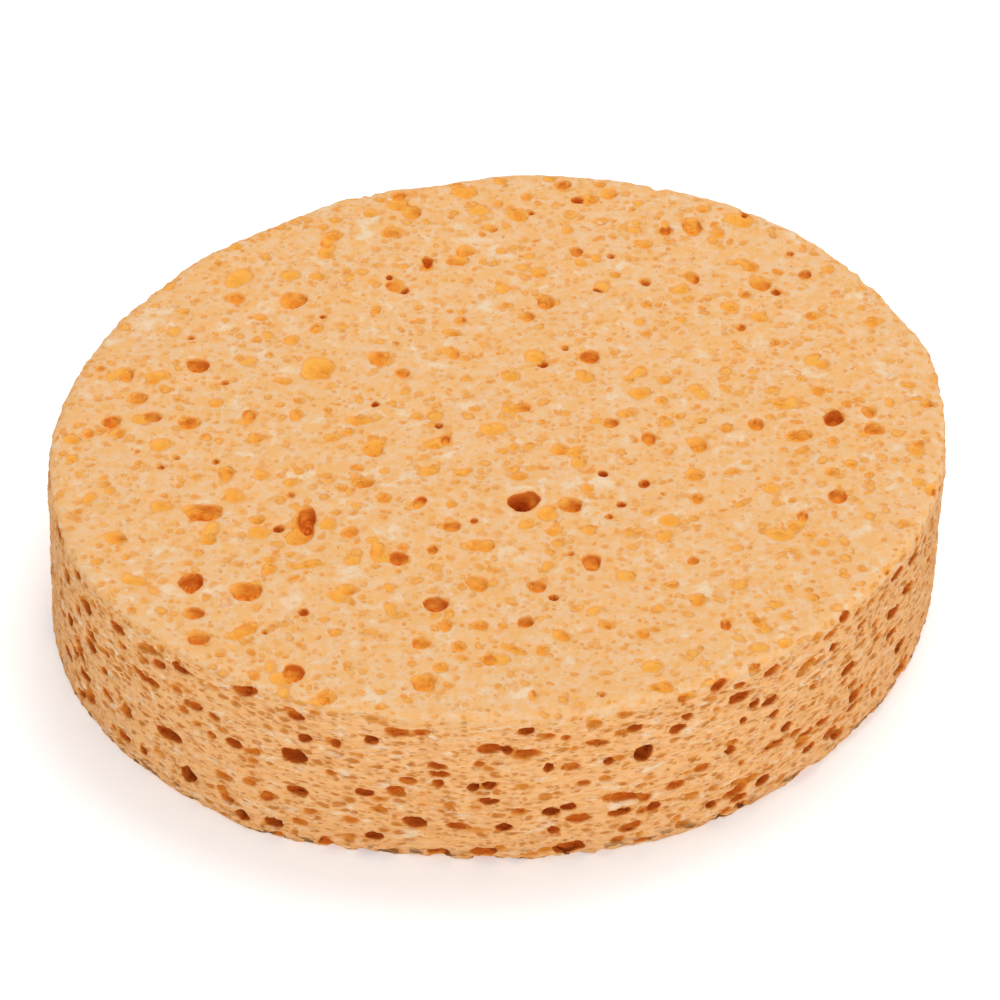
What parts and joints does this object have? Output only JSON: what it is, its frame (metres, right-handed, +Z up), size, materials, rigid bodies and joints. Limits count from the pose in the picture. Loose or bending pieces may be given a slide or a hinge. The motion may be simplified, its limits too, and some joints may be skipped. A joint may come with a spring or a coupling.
{
  "type": "bath sponge",
  "caption": "Thick, slightly oval disc of natural-coloured cellulose foam with open pores on its flat faces and upright cut edge.",
  "frame": {"origin": "middle of the footprint, on the flat underside", "axes": "+Z up through the thickness, -Y towards the viewer of the picture, long diameter at 45 degrees between +X and +Y"},
  "size_m": [0.1234, 0.1228, 0.025],
  "materials": {
    "foam": "matte open-celled foam with beige skin, darker orange-brown pore walls and pale strands"
  },
  "bodies": {
    "root": {"sponge": "foam"}
  },
  "joints": []
}
